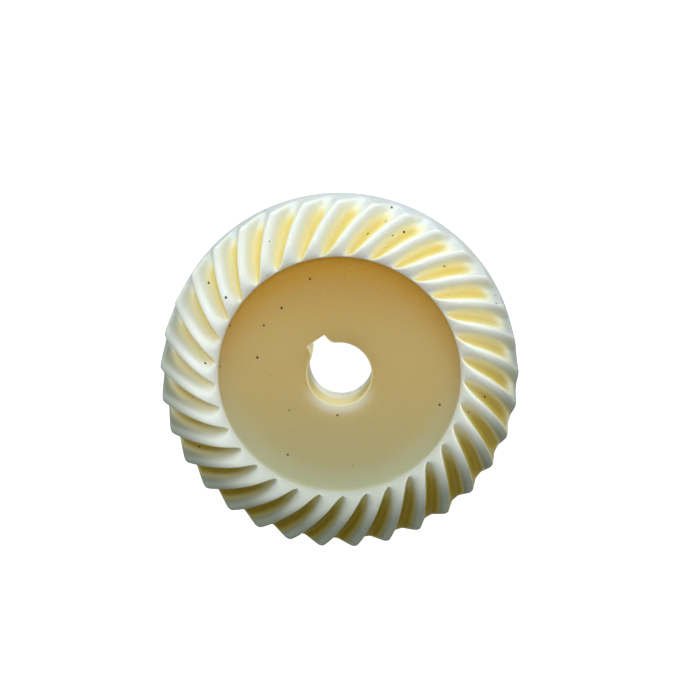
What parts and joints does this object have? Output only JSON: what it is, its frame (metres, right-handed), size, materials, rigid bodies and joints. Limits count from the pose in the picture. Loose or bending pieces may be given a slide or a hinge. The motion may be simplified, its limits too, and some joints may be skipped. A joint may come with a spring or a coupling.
{
  "type": "spiral bevel gear",
  "caption": "Moulded nylon spiral bevel gear: wide ring of curved bevel teeth around a shallow dished face, with a keyed round bore that turns with its shaft.",
  "frame": {"origin": "on the gear axis, at the back face of the hub boss", "axes": "+Z along the bore axis towards the toothed face, +Y through the middle of the keyway"},
  "size_m": [0.0667, 0.0667, 0.0139],
  "materials": {
    "nylon": "satin natural ivory nylon, slightly translucent, amber in thick and shaded places"
  },
  "bodies": {
    "root": {"spiral_bevel_gear": "nylon"}
  },
  "joints": []
}
